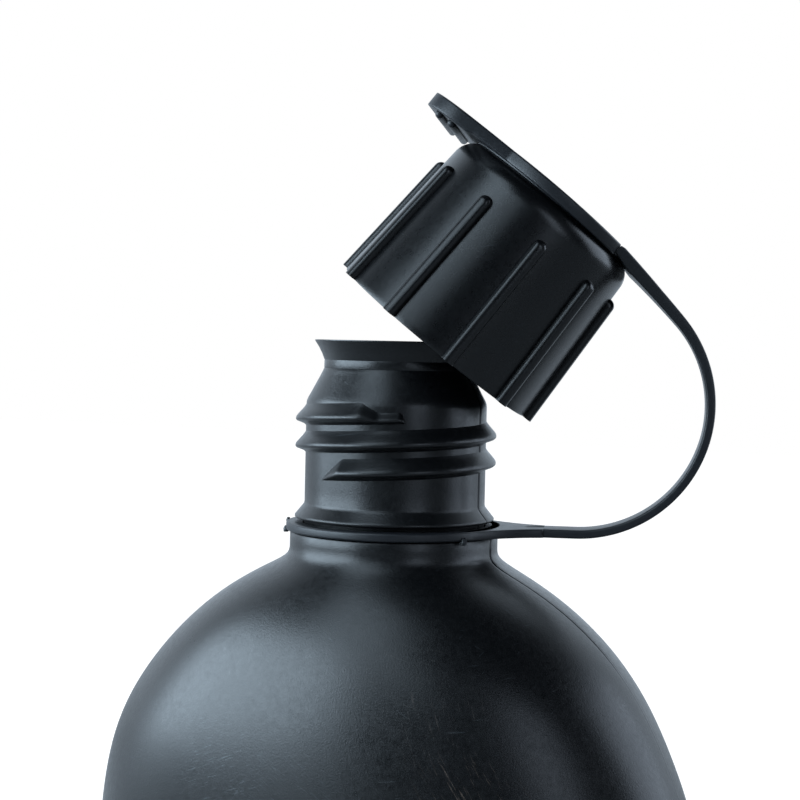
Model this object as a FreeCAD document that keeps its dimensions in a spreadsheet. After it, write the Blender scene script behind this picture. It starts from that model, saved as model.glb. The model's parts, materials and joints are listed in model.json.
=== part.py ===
import FreeCAD, Part

import math
import os

import Sketcher

# One-quart plastic canteen with its screw cap hanging from a flexible strap.
# Frame: +Z up, origin at the middle of the base under the neck, X along the
# body's width (the plane of the mould's parting line), front towards -Y.

V = FreeCAD.Vector
Z_AXIS = V(0, 0, 1)
Y_AXIS = V(0, 1, 0)

SIZES = (
    # blow-moulded body
    ("body_width", 133.5),
    ("body_depth", 69),
    ("side_height", 92.6),       # base to the widest level
    ("dome_rise", 68),           # widest level to the top of the shoulders
    ("base_radius", 16),
    ("base_taper", 0.03),        # share by which the sides narrow at the base
    ("body_bend", 3.5),          # how far the middle stands forward of the edges
    ("section_power", 2.2),      # 2 is an ellipse, more is squarer
    ("depth_power", 3.3),        # how square the shoulders are seen from the side
    ("collar_blend", 9),         # higher is a tighter blend of collar and shoulder
    ("wall", 2),
    # neck, upwards from the collar
    ("collar_radius", 21.9),
    ("collar_rise", 2.25),
    ("groove_height", 2.75),
    ("bead_radius", 21),
    ("bead_height", 3),
    ("neck_radius", 19),
    ("neck_length", 22),
    ("taper_height", 6.5),
    ("throat_radius", 15.4),
    ("throat_height", 1.8),
    ("lip_radius", 17.5),
    ("lip_height", 4.1),
    ("lip_wall", 0.9),
    # screw thread, single start, right-handed
    ("thread_pitch", 5.65),
    ("thread_depth", 2.1),
    ("thread_crest", 0.7),
    ("thread_upper_flank", 2.2),
    ("thread_lower_flank", 0.9),
    ("thread_turns", 2.16),
    ("thread_start_angle", 242),
    ("thread_start_rise", 6.4),  # neck bead to the thread's lower crest
    ("thread_clearance", 0.45),
    # strap moulding
    ("strap_thickness", 1.9),
    ("strap_width", 7.8),
    ("strap_turn", 17),          # swing of the strap about the neck, from +X
    ("ring_width", 3.4),
    ("ring_clearance", 0.35),
    ("ring_seat_gap", 0.05),
    ("tongue_length", 15.2),
    ("tongue_root_width", 15),
    ("main_sweep", 118),         # degrees bent in the tight part of the loop
    ("link_count", 6),
    ("hinge_gap", 0.5),
    # cap, upwards from its rim along its own axis
    ("cap_shift", 7.7),          # rim centre from the neck's axis
    ("cap_drop", 0.5),           # rim centre below the mouth
    ("cap_tilt", 38.5),
    ("cap_rim_radius", 24.3),
    ("cap_top_radius", 21.9),
    ("cap_edge_radius", 5),
    ("cap_depth", 34.5),
    ("cap_deck", 3.9),           # solid deck between the cup and the top face
    ("cap_wall", 2),
    ("cap_thread_zone", 18),
    ("cap_thread_rise", 6),
    ("cap_thread_turns", 2),
    ("rib_count", 10),
    ("rib_width", 2.9),
    ("rib_proud", 1.4),
    ("rib_length", 30.6),
    ("rib_sink", 1),
    ("rib_start_angle", -4),
    # cap boss, strap ring on it and the cover over it
    ("boss_radius", 12.4),
    ("boss_clearance", 0.1),
    ("cap_ring_radius", 20.6),
    ("cap_ring_thickness", 0.9),
    ("play", 0.1),               # axial play between stacked moving plates
    ("cover_thickness", 1.2),
    ("cover_radius", 21),
    ("cover_recess_clearance", 0.4),
    ("tab_reach", 31.4),
    ("tab_width", 36),
    ("tab_thickness", 2.1),
    ("tab_corner", 8),
    ("grip_radius", 0.8),
    ("grip_length", 32),
    ("grip_pitch", 3.6),
    ("cover_hinge_reach", 17),
    ("knuckle_clearance", 0.2),
    # drinking port in the cap's deck
    ("port_tube_radius", 8),
    ("port_flange_radius", 13.4),
    ("port_flange_thickness", 0.3),
    ("port_tube_length", 12.5),
    ("socket_radius", 6),
    ("socket_depth", 4.5),
    ("seat_web", 1),
    ("seat_hole_radius", 3),
    ("chamber_radius", 5.2),
    ("o_ring_section", 0.7),
    ("o_ring_squeeze", 0.25),    # how far the ring stands into the socket
    ("plug_clearance", 0.3),
    ("plug_length", 1.2),
    # drinking valve
    ("stem_radius", 1.6),
    ("stem_length", 4.4),
    ("poppet_radius", 4.2),
    ("poppet_thickness", 1.5),
    ("seal_thickness", 0.55),
    ("seal_gap", 0.05),
    ("guide_radius", 1.8),
    ("guide_length", 2),
    ("spring_wire_radius", 0.35),
    ("spring_radius", 3.2),
    ("spring_turns", 4),
    ("spring_length", 3.7),
    ("retainer_thickness", 1.2),
    ("retainer_clearance", 0.05),
    ("retainer_hole_radius", 2),
    ("flow_hole_radius", 0.9),
    ("flow_hole_count", 4),
    # gasket in the cap's ceiling
    ("gasket_thickness", 2),
    ("gasket_inner_radius", 13),
    ("gasket_clearance", 0.1),
)

doc = FreeCAD.newDocument("canteen")
sheet = doc.addObject("Spreadsheet::Sheet", "Sizes")
for row, (alias, value) in enumerate(SIZES, start=1):
    sheet.set(f"A{row}", alias)
    sheet.set(f"B{row}", str(value))
    sheet.setAlias(f"B{row}", alias)
doc.recompute()


def size(alias):
    """A driving dimension, read from the sheet."""
    return float(sheet.get(alias))


def in_sheet(expression):
    """Point the plain names of an expression at the sheet."""
    words = []
    word = ""
    for letter in expression + " ":
        if letter.isalnum() or letter == "_":
            word += letter
            continue
        if word and not word[0].isdigit():
            word = "Sizes." + word
        words.append(word + letter)
        word = ""
    return "".join(words).strip()


def worked_out(expression):
    """The number that an expression of named sizes gives."""
    return float(sheet.evalExpression(in_sheet(expression)))


# ---------------------------------------------------------------- heights

APEX = "side_height + dome_rise"
COLLAR_TOP = f"{APEX} + collar_rise"
BEAD_BOTTOM = f"{COLLAR_TOP} + groove_height"
BEAD_TOP = f"{BEAD_BOTTOM} + bead_height"
NECK_TOP = f"{BEAD_TOP} + neck_length"
THROAT_BOTTOM = f"{NECK_TOP} + taper_height"
THROAT_TOP = f"{THROAT_BOTTOM} + throat_height"
MOUTH = f"{THROAT_TOP} + lip_height"

RING_BOTTOM = f"{COLLAR_TOP} + ring_seat_gap"
RING_INNER = "neck_radius + ring_clearance"
RING_OUTER = f"{RING_INNER} + ring_width"

# along the cap's own axis, from its rim
CAP_HEIGHT = "(cap_depth + cap_deck)"
CAP_RING_BOTTOM = f"{CAP_HEIGHT} + play"
CAP_RING_TOP = f"{CAP_RING_BOTTOM} + cap_ring_thickness"
BOSS_TOP = f"{CAP_RING_TOP} + play"
FLANGE_TOP = f"{BOSS_TOP} + port_flange_thickness"
COVER_TOP = f"{BOSS_TOP} + cover_thickness"
HINGE_RISE = f"{BOSS_TOP} + cover_thickness / 2"
TUBE_BOTTOM = f"{BOSS_TOP} - port_tube_length"
SOCKET_BOTTOM = f"{FLANGE_TOP} - socket_depth"
CHAMBER_TOP = f"{SOCKET_BOTTOM} - seat_web"
SEAL_TOP = f"{CHAMBER_TOP} - seal_gap"
POPPET_TOP = f"{SEAL_TOP} - seal_thickness"
POPPET_BOTTOM = f"{POPPET_TOP} - poppet_thickness"
RETAINER_TOP = f"{POPPET_BOTTOM} - spring_length"


# ---------------------------------------------------------------- places

def strap_turned():
    """The strap's plane, swung about the neck."""
    return FreeCAD.Placement(V(), FreeCAD.Rotation(Z_AXIS, size("strap_turn")))


def cap_placement(own_turn=0):
    """The cap's own frame: rim centre and tilted axis."""
    rim = V(size("cap_shift"), 0, worked_out(f"{MOUTH} - cap_drop"))
    tilt = FreeCAD.Rotation(Y_AXIS, size("cap_tilt"))
    spin = FreeCAD.Placement(V(), FreeCAD.Rotation(Z_AXIS, own_turn))
    return strap_turned() * FreeCAD.Placement(rim, tilt) * spin


# ---------------------------------------------------------------- helpers

def new_body(label):
    body = doc.addObject("PartDesign::Body", label)
    body.Label = label
    return body


def origin_plane(body, role):
    return next(plane for plane in body.Origin.OriginFeatures if plane.Role == role)


def closed_profile(body, role, corners):
    """A sketch of straight lines, each corner bound to two expressions."""
    sketch = body.newObject("Sketcher::SketchObject", f"{body.Label}_profile")
    sketch.AttachmentSupport = [(origin_plane(body, role), "")]
    sketch.MapMode = "FlatFace"
    places = [V(worked_out(x), worked_out(y), 0) for x, y in corners]
    for place, following in zip(places, places[1:] + places[:1]):
        sketch.addGeometry(Part.LineSegment(place, following), False)
    for index, (x, y) in enumerate(corners):
        following = (index + 1) % len(corners)
        sketch.addConstraint(Sketcher.Constraint("Coincident", index, 2, following, 1))
        for axis, expression in (("DistanceX", x), ("DistanceY", y)):
            number = sketch.addConstraint(
                Sketcher.Constraint(axis, -1, 1, index, 1, worked_out(expression))
            )
            sketch.setExpression(f"Constraints[{number}]", in_sheet(expression))
    return sketch


def circle_profile(body, role, circles):
    """A sketch of circles on the axis, each (radius, x) from expressions."""
    sketch = body.newObject("Sketcher::SketchObject", f"{body.Label}_circles")
    sketch.AttachmentSupport = [(origin_plane(body, role), "")]
    sketch.MapMode = "FlatFace"
    for index, (radius, x) in enumerate(circles):
        centre = V(worked_out(x), 0, 0)
        sketch.addGeometry(Part.Circle(centre, Z_AXIS, worked_out(radius)), False)
        for kind, expression in (("Radius", radius), ("DistanceX", x)):
            if kind == "Radius":
                constraint = Sketcher.Constraint(kind, index, worked_out(expression))
            else:
                constraint = Sketcher.Constraint(kind, -1, 1, index, 3, worked_out(expression))
            number = sketch.addConstraint(constraint)
            sketch.setExpression(f"Constraints[{number}]", in_sheet(expression))
        sketch.addConstraint(Sketcher.Constraint("PointOnObject", index, 3, -1))
    return sketch


def revolve(body, corners):
    """Turn a profile of (radius, height) corners about the body's axis."""
    sketch = closed_profile(body, "XZ_Plane", corners)
    turned = body.newObject("PartDesign::Revolution", f"{body.Label}_turned")
    turned.Profile = sketch
    turned.ReferenceAxis = (sketch, ["V_Axis"])
    turned.Angle = 360
    doc.recompute()
    return turned


def pad(body, sketch, kind, thickness, rise="0"):
    """Pad or pocket a sketch upwards by a thickness, from a height."""
    sketch.setExpression(".AttachmentOffset.Base.z", in_sheet(rise))
    feature = body.newObject(f"PartDesign::{kind}", f"{sketch.Name}_{kind}")
    feature.Profile = sketch
    feature.setExpression("Length", in_sheet(thickness))
    feature.Reversed = kind == "Pocket"
    doc.recompute()
    return feature


def ring_edges(shape, radius, height):
    """Names of the circular edges of one radius at one height."""
    names = []
    for number, edge in enumerate(shape.Edges, start=1):
        curve = edge.Curve
        if not isinstance(curve, Part.Circle):
            continue
        if abs(curve.Radius - radius) < 1e-3 and abs(curve.Center.z - height) < 1e-3:
            names.append(f"Edge{number}")
    return names


def plain_solid(label, shape, placement):
    feature = doc.addObject("Part::Feature", label)
    feature.Label = label
    feature.Shape = shape
    feature.Placement = placement
    return feature


def helical_ridge(profile, radius, turns, start_angle, start_height):
    """A thread ridge: a profile in the XZ plane swept up a right-hand helix."""
    pitch = size("thread_pitch")
    helix = Part.makeHelix(pitch, pitch * turns, radius)
    corners = [V(x, 0, z) for x, z in profile]
    wire = Part.makePolygon(corners + corners[:1])
    sweep = Part.BRepOffsetAPI.MakePipeShell(Part.Wire(helix))
    sweep.setFrenetMode(True)
    sweep.add(wire)
    sweep.build()
    sweep.makeSolid()
    ridge = sweep.shape()
    ridge.rotate(V(), Z_AXIS, start_angle)
    ridge.translate(V(0, 0, start_height))
    return ridge


# ---------------------------------------------------------------- canteen body

def half_sizes(height, inset):
    """Half width and half depth of the body at a height, inset from outside."""
    widest = size("side_height")
    rise = max(0.0, (height - widest) / (size("dome_rise") - inset))
    rise = min(rise, 1.0)
    blend = size("collar_blend")
    collar = size("collar_radius") - inset
    drop = max(0.0, (widest - height) / widest)
    taper = 1 - size("base_taper") * drop ** 2
    corner = size("base_radius") - inset
    below = max(0.0, corner - (height - inset))
    tuck = corner - math.sqrt(max(0.0, corner ** 2 - below ** 2))
    halves = []
    for full, power in ((size("body_width"), 2), (size("body_depth"), size("depth_power"))):
        dome = (full / 2 * taper - inset) * (1 - rise ** power) ** (1 / power)
        halves.append((dome ** blend + collar ** blend) ** (1 / blend) - tuck)
    return halves


def body_section(height, inset):
    """One level outline of the body: a slightly kidney-shaped rounded oval."""
    half_width, half_depth = half_sizes(height, inset)
    power = size("section_power")
    widest = size("body_width") / 2
    share = max(0.0, half_width - size("collar_radius")) / (widest - size("collar_radius"))
    squareness = 2 / (2 + (power - 2) * share)
    bend = size("body_bend") * share
    points = []
    for step in range(32):
        angle = math.tau * step / 32
        across = math.copysign(abs(math.cos(angle)) ** squareness, math.cos(angle))
        along = math.copysign(abs(math.sin(angle)) ** squareness, math.sin(angle))
        back = bend * (across ** 2 - 1)
        points.append(V(half_width * across, half_depth * along + back, height))
    outline = Part.BSplineCurve()
    outline.interpolate(Points=points, PeriodicFlag=True)
    return Part.Wire(outline.toShape())


def body_loft(inset, top):
    """The body's volume, inset by a wall, up to a level inside the collar."""
    widest = size("side_height")
    rise = size("dome_rise") - inset
    corner = size("base_radius") - inset
    levels = [inset + corner * (1 - math.cos(math.radians(a))) for a in (0, 15, 30, 45, 60, 75, 90)]
    levels += [widest * share for share in (0.4, 0.65, 0.85)]
    dome_angles = (0, 12, 24, 34, 43, 51, 58, 64, 68, 71.5, 75, 78.5, 82.5)
    levels += [widest + rise * math.sin(math.radians(a)) for a in dome_angles]
    levels.append(top)
    return Part.makeLoft([body_section(level, inset) for level in levels], True, False, False, 3)


def neck_lathe(corners):
    """A round solid about the neck's axis from (radius, height) expressions."""
    points = [V(worked_out(r), 0, worked_out(z)) for r, z in corners]
    face = Part.Face(Part.makePolygon(points + points[:1]))
    return face.revolve(V(), Z_AXIS, 360)


def make_canteen_body():
    below = f"{COLLAR_TOP} - 2 * wall"
    outside = neck_lathe((
        ("0", below),
        ("neck_radius", below),
        ("neck_radius", BEAD_BOTTOM),
        ("bead_radius", BEAD_BOTTOM),
        ("neck_radius", BEAD_TOP),
        ("neck_radius", NECK_TOP),
        ("throat_radius", THROAT_BOTTOM),
        ("throat_radius", THROAT_TOP),
        ("lip_radius", MOUTH),
        ("0", MOUTH),
    ))
    inside = neck_lathe((
        ("0", f"{COLLAR_TOP} - 3 * wall"),
        ("neck_radius - wall", f"{COLLAR_TOP} - 3 * wall"),
        ("neck_radius - wall", NECK_TOP),
        ("throat_radius - wall", THROAT_BOTTOM),
        ("throat_radius - wall", THROAT_TOP),
        ("lip_radius - lip_wall", MOUTH),
        ("0", MOUTH),
    ))
    root = size("neck_radius") - size("wall") / 3
    crest = size("neck_radius") + size("thread_depth")
    middle = size("thread_crest") / 2
    lower = -middle - size("thread_lower_flank")
    upper = middle + size("thread_upper_flank")
    profile = ((root, lower), (crest, -middle), (crest, middle), (root, upper))
    thread = helical_ridge(
        profile, size("neck_radius"), size("thread_turns"), size("thread_start_angle"),
        worked_out(f"{BEAD_TOP} + thread_start_rise"),
    )
    reach = size("body_width")
    above_base = Part.makeBox(2 * reach, 2 * reach, worked_out(MOUTH), V(-reach, -reach, 0))
    solid = body_loft(0, worked_out(COLLAR_TOP)).common(above_base).fuse([outside, thread])
    hollow = body_loft(size("wall"), worked_out(f"{COLLAR_TOP} - wall"))
    solid = solid.cut([hollow, inside])
    return plain_solid("canteen_body", solid.Solids[0], FreeCAD.Placement())


# ---------------------------------------------------------------- strap

def strap_arcs():
    """The strap's centre line: (start point, heading, radius, sweep) per stretch.

    It leaves the neck ring level, bends through a tight arc and then a wide one,
    and arrives flush with the cover on the cap. The two radii follow from where
    the ring and the cap are.
    """
    half = size("strap_thickness") / 2
    start = V(worked_out(RING_OUTER), 0, worked_out(RING_BOTTOM) + half)
    begin = start + V(size("tongue_length"), 0, 0)
    arrival = V(size("cover_hinge_reach"), 0, worked_out(COVER_TOP) - half)
    to_cap = strap_turned().inverse() * cap_placement()
    end = to_cap.multVec(arrival)
    first = math.radians(size("main_sweep"))
    last = math.radians(180 - size("cap_tilt"))
    tight = (math.sin(first), 1 - math.cos(first))
    wide = (math.sin(last) - math.sin(first), math.cos(first) - math.cos(last))
    gap = end - begin
    scale = tight[0] * wide[1] - tight[1] * wide[0]
    tight_radius = (gap.x * wide[1] - gap.z * wide[0]) / scale
    wide_radius = (tight[0] * gap.z - tight[1] * gap.x) / scale
    bend = begin + V(tight[0], 0, tight[1]) * tight_radius
    return (begin, 0.0, tight_radius, first), (bend, first, wide_radius, last - first)


def strap_length():
    return sum(radius * sweep for _, _, radius, sweep in strap_arcs())


def strap_point(distance):
    """Point and heading of the strap's centre line at a distance along it."""
    (begin, heading, radius, sweep), wide = strap_arcs()
    if distance > radius * sweep:
        distance -= radius * sweep
        begin, heading, radius, sweep = wide
    turned = heading + distance / radius
    step = V(math.sin(turned) - math.sin(heading), 0, math.cos(heading) - math.cos(turned))
    return begin + step * radius, turned


def strap_piece(low, high):
    """A stretch of strap between two distances, as a solid across the plane."""
    half = size("strap_thickness") / 2
    tight = strap_arcs()[0]
    change = tight[2] * tight[3]
    marks = [low] + [change] * (low < change < high) + [high]
    sides = []
    for side in (-half, half):
        edges = []
        for near, far in zip(marks, marks[1:]):
            points = []
            for distance in (near, (near + far) / 2, far):
                place, heading = strap_point(distance)
                points.append(place + V(-math.sin(heading), 0, math.cos(heading)) * side)
            edges.append(Part.Arc(*points).toShape())
        sides.append(edges)
    outer, inner = sides
    ends = []
    for edge_out, edge_in, at in ((outer[0], inner[0], 0), (outer[-1], inner[-1], -1)):
        ends.append(Part.LineSegment(edge_out.Vertexes[at].Point, edge_in.Vertexes[at].Point).toShape())
    loop = Part.Wire(Part.__sortEdges__(outer + inner + ends))
    width = size("strap_width")
    band = Part.Face(loop).extrude(V(0, width, 0))
    band.translate(V(0, -width / 2, 0))
    return band


def make_strap_links():
    count = int(size("link_count"))
    total = strap_length() - cap_tongue_length()
    gap = size("hinge_gap") / 2
    for number in range(count):
        low = total * number / count + gap
        high = total * (number + 1) / count - gap
        plain_solid(f"strap_link_{number + 1}", strap_piece(low, high), strap_turned())


def cap_tongue_length():
    """Strap that stays part of the cap's ring, out past the ring's rim."""
    return size("cap_ring_radius") - size("cover_hinge_reach") + size("strap_thickness")


def make_strap_neck_ring():
    body = new_body("strap_neck_ring")
    circles = circle_profile(body, "XY_Plane", ((RING_OUTER, "0"), (RING_INNER, "0")))
    pad(body, circles, "Pad", "strap_thickness", RING_BOTTOM)
    reach = f"{RING_OUTER} + tongue_length - hinge_gap / 2"
    shoulder = f"{RING_OUTER} + tongue_length / 3"
    root = f"{RING_INNER} + ring_width / 2"
    tongue = closed_profile(body, "XY_Plane", (
        (root, "-tongue_root_width / 2"),
        (shoulder, "-strap_width / 2"),
        (reach, "-strap_width / 2"),
        (reach, "strap_width / 2"),
        (shoulder, "strap_width / 2"),
        (root, "tongue_root_width / 2"),
    ))
    pad(body, tongue, "Pad", "strap_thickness", RING_BOTTOM)
    body.Placement = strap_turned()
    return body


def make_strap_cap_ring():
    thickness = size("cap_ring_thickness")
    low = worked_out(CAP_RING_BOTTOM)
    pivot = V(size("cover_hinge_reach"), 0, worked_out(HINGE_RISE))
    knuckle = size("cover_thickness") / 2 + size("knuckle_clearance")
    plate = Part.makeCylinder(size("cap_ring_radius"), thickness, V(0, 0, low))
    bore = size("boss_radius") + size("boss_clearance")
    width = size("tongue_root_width")
    block_reach = size("cap_ring_radius") - size("cover_hinge_reach")
    rise = worked_out(f"{COVER_TOP} - {CAP_RING_BOTTOM}")
    block = Part.makeBox(block_reach, width, rise, V(pivot.x, -width / 2, low))
    block = block.common(Part.makeCylinder(size("cap_ring_radius"), rise, V(0, 0, low)))
    to_cap = cap_placement().inverse() * strap_turned()
    total = strap_length()
    band = strap_piece(total - cap_tongue_length() + size("hinge_gap") / 2, total)
    band.Placement = to_cap
    ring = plate.fuse([block, band])
    around = Part.makeCylinder(knuckle, 2 * width, pivot - V(0, width, 0), Y_AXIS)
    opened = Part.makeBox(2 * knuckle, 2 * width, rise, pivot - V(knuckle, width, 0))
    ring = ring.cut([Part.makeCylinder(bore, thickness, V(0, 0, low)), around, opened])
    return plain_solid("strap_cap_ring", ring.Solids[0], cap_placement())


# ---------------------------------------------------------------- cap

def make_cap_shell():
    body = new_body("cap_moulding")
    bore = "neck_radius + thread_depth + thread_clearance"
    inner_top = "cap_top_radius - cap_wall"
    turned = revolve(body, (
        ("cap_rim_radius", "0"),
        ("cap_top_radius", CAP_HEIGHT),
        ("boss_radius", CAP_HEIGHT),
        ("boss_radius", BOSS_TOP),
        ("port_tube_radius", BOSS_TOP),
        ("port_tube_radius", "cap_depth"),
        (inner_top, "cap_depth"),
        (inner_top, "cap_thread_zone + cap_wall"),
        (bore, "cap_thread_zone"),
        (bore, "0"),
    ))
    edge = body.newObject("PartDesign::Fillet", "cap_edge")
    names = ring_edges(turned.Shape, size("cap_top_radius"), worked_out(CAP_HEIGHT))
    edge.Base = (turned, names)
    edge.setExpression("Radius", in_sheet("cap_edge_radius"))
    doc.recompute()
    slope = f"(cap_rim_radius - cap_top_radius) / {CAP_HEIGHT}"
    top = f"cap_rim_radius - rib_length * {slope}"
    side = closed_profile(body, "XZ_Plane", (
        ("cap_rim_radius - rib_sink", "0"),
        ("cap_rim_radius + rib_proud", "0"),
        (f"{top} + rib_proud", "rib_length - rib_proud"),
        (top, "rib_length"),
        (f"{top} - rib_sink", "rib_length"),
    ))
    rib = body.newObject("PartDesign::Pad", "rib")
    rib.Profile = side
    rib.Midplane = True
    rib.setExpression("Length", in_sheet("rib_width"))
    doc.recompute()
    ribs = body.newObject("PartDesign::PolarPattern", "ribs")
    ribs.Originals = [rib]
    ribs.Axis = (side, ["V_Axis"])
    ribs.Angle = 360
    ribs.setExpression("Occurrences", in_sheet("rib_count"))
    body.Tip = ribs
    doc.recompute()
    middle = size("thread_crest") / 2
    wide = middle + size("thread_lower_flank")
    outer = worked_out(bore) + size("cap_wall") / 4
    inner = worked_out(bore) - size("thread_depth")
    profile = ((outer, -wide), (inner, -middle), (inner, middle), (outer, wide))
    thread = doc.addObject("Part::Feature", "cap_thread")
    thread.Shape = helical_ridge(
        profile, worked_out(bore), size("cap_thread_turns"), 0, size("cap_thread_rise")
    )
    shell = doc.addObject("Part::Fuse", "cap_shell")
    shell.Label = "cap_shell"
    shell.Base = body
    shell.Tool = thread
    shell.Placement = cap_placement(size("rib_start_angle"))
    doc.recompute()
    return shell


def make_turned_part(label, corners):
    """A round piece about the cap's axis."""
    body = new_body(label)
    revolve(body, corners)
    body.Placement = cap_placement()
    return body


def make_neck_gasket():
    outer = "cap_top_radius - cap_wall - gasket_clearance"
    return make_turned_part("neck_gasket", (
        ("gasket_inner_radius", "cap_depth - gasket_thickness"),
        (outer, "cap_depth - gasket_thickness"),
        (outer, "cap_depth"),
        ("gasket_inner_radius", "cap_depth"),
    ))


def make_port_insert():
    groove = "socket_radius + 2 * o_ring_section - o_ring_squeeze + play"
    middle = f"{SOCKET_BOTTOM} + socket_depth / 2"
    half = "(o_ring_section + play)"
    return make_turned_part("port_insert", (
        ("port_tube_radius", TUBE_BOTTOM),
        ("port_tube_radius", BOSS_TOP),
        ("port_flange_radius", BOSS_TOP),
        ("port_flange_radius", FLANGE_TOP),
        ("socket_radius", FLANGE_TOP),
        ("socket_radius", f"{middle} + {half}"),
        (groove, f"{middle} + {half}"),
        (groove, f"{middle} - {half}"),
        ("socket_radius", f"{middle} - {half}"),
        ("socket_radius", SOCKET_BOTTOM),
        ("seat_hole_radius", SOCKET_BOTTOM),
        ("seat_hole_radius", CHAMBER_TOP),
        ("chamber_radius", CHAMBER_TOP),
        ("chamber_radius", TUBE_BOTTOM),
    ))


def make_port_o_ring():
    ring = doc.addObject("Part::Torus", "port_o_ring")
    ring.Label = "port_o_ring"
    centre = "socket_radius + o_ring_section - o_ring_squeeze"
    ring.setExpression("Radius1", in_sheet(centre))
    ring.setExpression("Radius2", in_sheet("o_ring_section"))
    middle = V(0, 0, worked_out(f"{SOCKET_BOTTOM} + socket_depth / 2"))
    ring.Placement = cap_placement() * FreeCAD.Placement(middle, FreeCAD.Rotation())
    return ring


def make_valve_poppet():
    return make_turned_part("valve_poppet", (
        ("0", f"{POPPET_BOTTOM} - guide_length"),
        ("guide_radius", f"{POPPET_BOTTOM} - guide_length"),
        ("guide_radius", POPPET_BOTTOM),
        ("poppet_radius", POPPET_BOTTOM),
        ("poppet_radius", POPPET_TOP),
        ("stem_radius", POPPET_TOP),
        ("stem_radius", f"{POPPET_TOP} + stem_length"),
        ("0", f"{POPPET_TOP} + stem_length"),
    ))


def make_poppet_seal():
    return make_turned_part("poppet_seal", (
        ("stem_radius", POPPET_TOP),
        ("poppet_radius", POPPET_TOP),
        ("poppet_radius", SEAL_TOP),
        ("stem_radius", SEAL_TOP),
    ))


def make_valve_spring():
    wire = size("spring_wire_radius")
    turns = size("spring_turns")
    rise = size("spring_length") - 2 * wire
    helix = Part.makeHelix(rise / turns, rise, size("spring_radius"))
    section = Part.Wire(Part.Circle(V(size("spring_radius"), 0, 0), Y_AXIS, wire).toShape())
    sweep = Part.BRepOffsetAPI.MakePipeShell(Part.Wire(helix))
    sweep.setFrenetMode(True)
    sweep.add(section)
    sweep.build()
    sweep.makeSolid()
    base = FreeCAD.Placement(V(0, 0, worked_out(RETAINER_TOP) + wire), FreeCAD.Rotation())
    return plain_solid("valve_spring", sweep.shape(), cap_placement() * base)


def make_spring_retainer():
    body = new_body("spring_retainer")
    rise = f"{RETAINER_TOP} - retainer_thickness"
    disc = circle_profile(body, "XY_Plane", (("chamber_radius - retainer_clearance", "0"),
                                             ("retainer_hole_radius", "0")))
    pad(body, disc, "Pad", "retainer_thickness", rise)
    between = "(chamber_radius + retainer_hole_radius) / 2"
    hole = circle_profile(body, "XY_Plane", (("flow_hole_radius", between),))
    drill = pad(body, hole, "Pocket", "retainer_thickness", rise)
    holes = body.newObject("PartDesign::PolarPattern", "flow_holes")
    holes.Originals = [drill]
    holes.Axis = (hole, ["N_Axis"])
    holes.Angle = 360
    holes.setExpression("Occurrences", in_sheet("flow_hole_count"))
    body.Tip = holes
    body.Placement = cap_placement()
    doc.recompute()
    return body


# ---------------------------------------------------------------- cover

def make_port_cover():
    low = worked_out(BOSS_TOP)
    thickness = size("cover_thickness")
    top = low + thickness
    width = size("tab_width")
    reach = size("tab_reach")
    inner_edge = size("cap_ring_radius") + size("cover_recess_clearance")
    disc = Part.makeCylinder(size("cover_radius"), thickness, V(0, 0, low))
    plate = Part.makeBox(reach, width, thickness, V(-reach, -width / 2, low))
    tab_low = top - size("tab_thickness")
    tab = Part.makeBox(reach - inner_edge, width, size("tab_thickness"), V(-reach, -width / 2, tab_low))
    cover = plate.fuse(tab)
    corners = [
        edge for edge in cover.Edges
        if all(abs(v.X + reach) < 1e-6 for v in edge.Vertexes)
        and abs(edge.Vertexes[0].Z - edge.Vertexes[1].Z) > 1e-6
    ]
    cover = cover.makeFillet(size("tab_corner"), corners)
    pivot = V(size("cover_hinge_reach"), 0, worked_out(HINGE_RISE))
    straight = Part.makeBox(2 * reach, 2 * reach, thickness, V(pivot.x - 2 * reach, -reach, low))
    cover = cover.fuse(disc.common(straight))
    half_chord = math.sqrt(size("cover_radius") ** 2 - pivot.x ** 2)
    knuckle = Part.makeCylinder(thickness / 2, 2 * half_chord, pivot - V(0, half_chord, 0), Y_AXIS)
    recess_radius = size("port_flange_radius") + size("cover_recess_clearance")
    recess_depth = size("port_flange_thickness") + size("play")
    recess = Part.makeCylinder(recess_radius, recess_depth, V(0, 0, low))
    plug_radius = size("socket_radius") - size("plug_clearance")
    plug_low = low + recess_depth - size("plug_length")
    plug = Part.makeCylinder(plug_radius, size("plug_length"), V(0, 0, plug_low))
    cover = cover.fuse(knuckle).cut(recess).fuse(plug)
    grip = size("grip_radius")
    half = size("grip_length") / 2
    for number in range(2):
        x = -reach + (number + 0.5) * size("grip_pitch")
        bar = Part.makeCylinder(grip, 2 * half, V(x, -half, tab_low), Y_AXIS)
        ends = [Part.makeSphere(grip, V(x, side, tab_low)) for side in (-half, half)]
        cover = cover.fuse([bar] + ends)
    return plain_solid("port_cover", cover.removeSplitter().Solids[0], cap_placement())


# ---------------------------------------------------------------- build and write

make_canteen_body()
make_strap_neck_ring()
make_strap_links()
make_strap_cap_ring()
make_cap_shell()
make_neck_gasket()
make_port_insert()
make_port_o_ring()
make_valve_poppet()
make_poppet_seal()
make_valve_spring()
make_spring_retainer()
make_port_cover()
doc.recompute()

PARTS = ["canteen_body", "strap_neck_ring"]
PARTS += [f"strap_link_{number + 1}" for number in range(int(size("link_count")))]
PARTS += [
    "strap_cap_ring", "cap_shell", "neck_gasket", "port_insert", "port_o_ring", "valve_poppet",
    "poppet_seal", "valve_spring", "spring_retainer", "port_cover",
]

for item in doc.Objects:
    if "Invalid" in item.State or "Error" in item.State:
        raise RuntimeError(f"{item.Label} did not recompute")

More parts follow.
